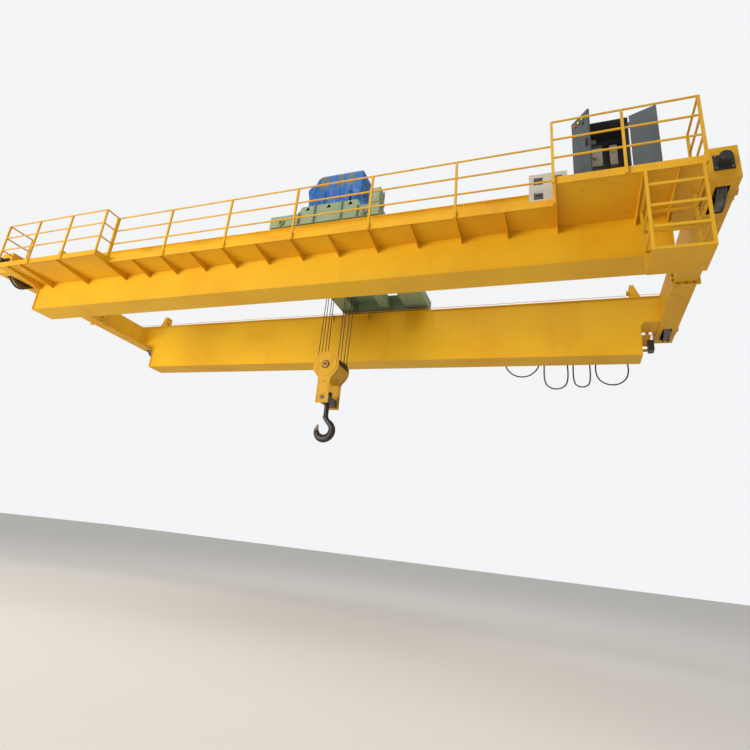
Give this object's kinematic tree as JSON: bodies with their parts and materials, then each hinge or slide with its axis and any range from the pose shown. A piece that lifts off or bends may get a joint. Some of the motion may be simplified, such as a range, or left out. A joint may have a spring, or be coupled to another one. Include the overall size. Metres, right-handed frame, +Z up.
{
  "type": "double girder overhead crane",
  "caption": "Double girder overhead travelling crane with walkways and handrails, a covered hoist trolley and a hook block on multiple rope falls.",
  "frame": {"origin": "mid-span, midway between the two girders, at the level of the runway rail heads", "axes": "+X along the girders, +Y along the runway, +Z up"},
  "size_m": [16.05, 7.2465, 5.845],
  "materials": {
    "girder_paint": "warm yellow gloss enamel, dusty",
    "trolley_paint": "pale green enamel",
    "bare_steel": "oiled, worn bright on the tread",
    "wheel_steel": "dark cast steel",
    "hook_forging": "dark forged steel, greasy",
    "drive_paint": "grey blue enamel",
    "cabinet_paint": "grey powder coat",
    "electrical": "beige housing",
    "rubber": "black rubber",
    "cable": "black cable sheath",
    "zinc": "zinc plated",
    "tarpaulin": "coated woven sheet, striped blue and grey"
  },
  "bodies": {
    "bridge": {"front_girder_top_flange": "girder_paint", "front_girder_bottom_flange": "girder_paint", "front_girder_webs": "girder_paint", "rear_girder_top_flange": "girder_paint", "rear_girder_bottom_flange": "girder_paint", "rear_girder_webs": "girder_paint", "left_end_truck": "girder_paint", "right_end_truck": "girder_paint", "front_walkway_deck": "girder_paint", "rear_walkway_deck": "girder_paint", "front_walkway_brackets": "girder_paint", "rear_walkway_brackets": "girder_paint", "front_handrail_left": "girder_paint", "front_handrail_middle": "girder_paint", "front_handrail_right": "girder_paint", "rear_handrail": "girder_paint", "trolley_stops": "girder_paint", "cage_left_side": "girder_paint", "cage_right_side": "girder_paint", "cage_rails": "girder_paint", "cage_floor": "girder_paint", "bearing_boxes": "girder_paint", "festoon_track": "girder_paint", "trolley_rails": "bare_steel", "travel_drives": "drive_paint", "cabinet_body": "cabinet_paint", "cabinet_equipment": "electrical", "resistor_box": "electrical", "festoon_junction_box": "electrical", "buffers": "rubber", "festoon_loop_1": "cable", "festoon_loop_2": "cable", "festoon_loop_3": "cable", "festoon_loop_4": "cable", "festoon_carriers": "zinc"},
    "left_front_runway_wheel": {"left_front_wheel": "wheel_steel"},
    "left_rear_runway_wheel": {"left_rear_wheel": "wheel_steel"},
    "right_front_runway_wheel": {"right_front_wheel": "wheel_steel"},
    "right_rear_runway_wheel": {"right_rear_wheel": "wheel_steel"},
    "left_door": {"cabinet_left_door": "cabinet_paint"},
    "right_door": {"cabinet_right_door": "cabinet_paint"},
    "trolley": {"trolley_side_beams": "trolley_paint", "trolley_deck": "trolley_paint", "drum_pedestal": "trolley_paint", "hoist_drive": "trolley_paint", "trolley_terminal_box": "trolley_paint", "upper_sheaves": "wheel_steel", "tarpaulin": "tarpaulin", "hoist_ropes": "bare_steel"},
    "driven_trolley_wheels": {"trolley_drive_wheels": "wheel_steel"},
    "free_trolley_wheels": {"trolley_idle_wheels": "wheel_steel"},
    "drum": {"hoist_drum": "bare_steel"},
    "hook_block": {"hook_block_frame": "girder_paint"},
    "block_sheaves": {"lower_sheaves": "wheel_steel"},
    "hook_crosshead": {"crosshead": "bare_steel"},
    "load_hook": {"hook": "hook_forging"}
  },
  "joints": [
    {"name": "left_front_wheel_roll", "type": "hinge", "parent": "bridge", "child": "left_front_runway_wheel", "pos_m": [-7.75, -2.7, 0.3], "axis": [1, 0, 0], "continuous": true},
    {"name": "left_rear_wheel_roll", "type": "hinge", "parent": "bridge", "child": "left_rear_runway_wheel", "pos_m": [-7.75, 2.7, 0.3], "axis": [1, 0, 0], "continuous": true},
    {"name": "right_front_wheel_roll", "type": "hinge", "parent": "bridge", "child": "right_front_runway_wheel", "pos_m": [7.75, -2.7, 0.3], "axis": [1, 0, 0], "continuous": true},
    {"name": "right_rear_wheel_roll", "type": "hinge", "parent": "bridge", "child": "right_rear_runway_wheel", "pos_m": [7.75, 2.7, 0.3], "axis": [1, 0, 0], "continuous": true},
    {"name": "left_door_swing", "type": "hinge", "parent": "bridge", "child": "left_door", "pos_m": [5.77, -3.071, 0.155], "axis": [0, 0, 1], "range_deg": [-60, 53]},
    {"name": "right_door_swing", "type": "hinge", "parent": "bridge", "child": "right_door", "pos_m": [6.61, -3.071, 0.155], "axis": [0, 0, 1], "range_deg": [-158, 10]},
    {"name": "trolley_travel", "type": "slide", "parent": "bridge", "child": "trolley", "axis": [1, 0, 0], "range_m": [-6.48, 4.84]},
    {"name": "driven_trolley_wheel_roll", "type": "hinge", "parent": "trolley", "child": "driven_trolley_wheels", "pos_m": [1.8, 0, 1.08], "axis": [0, 1, 0], "continuous": true},
    {"name": "free_trolley_wheel_roll", "type": "hinge", "parent": "trolley", "child": "free_trolley_wheels", "pos_m": [-0.16, 0, 1.08], "axis": [0, 1, 0], "continuous": true},
    {"name": "hoist", "type": "slide", "parent": "trolley", "child": "hook_block", "axis": [0, 0, 1], "range_m": [-3.7, 1.4], "deforming": ["hoist_ropes"]},
    {"name": "drum_spin", "type": "hinge", "parent": "trolley", "child": "drum", "pos_m": [0.894, 0, 1.67], "axis": [0, 1, 0], "continuous": true},
    {"name": "block_sheave_spin", "type": "hinge", "parent": "hook_block", "child": "block_sheaves", "pos_m": [0.37, 0, -1.52], "axis": [0, 1, 0], "continuous": true},
    {"name": "crosshead_tilt", "type": "hinge", "parent": "hook_block", "child": "hook_crosshead", "pos_m": [0.37, 0, -2.31], "axis": [0, 1, 0], "range_deg": [-12, 12]},
    {"name": "hook_swivel", "type": "hinge", "parent": "hook_crosshead", "child": "load_hook", "pos_m": [0.37, 0, -2.31], "axis": [0, 0, 1], "continuous": true}
  ],
  "couplings": [
    {"joint": "left_rear_wheel_roll", "follows": "left_front_wheel_roll", "ratio": 1},
    {"joint": "right_front_wheel_roll", "follows": "left_front_wheel_roll", "ratio": 1},
    {"joint": "right_rear_wheel_roll", "follows": "left_front_wheel_roll", "ratio": 1},
    {"joint": "driven_trolley_wheel_roll", "follows": "trolley_travel", "rad_per_m": 7.1429},
    {"joint": "free_trolley_wheel_roll", "follows": "trolley_travel", "rad_per_m": 7.1429},
    {"joint": "drum_spin", "follows": "hoist", "rad_per_m": 15.267}
  ]
}
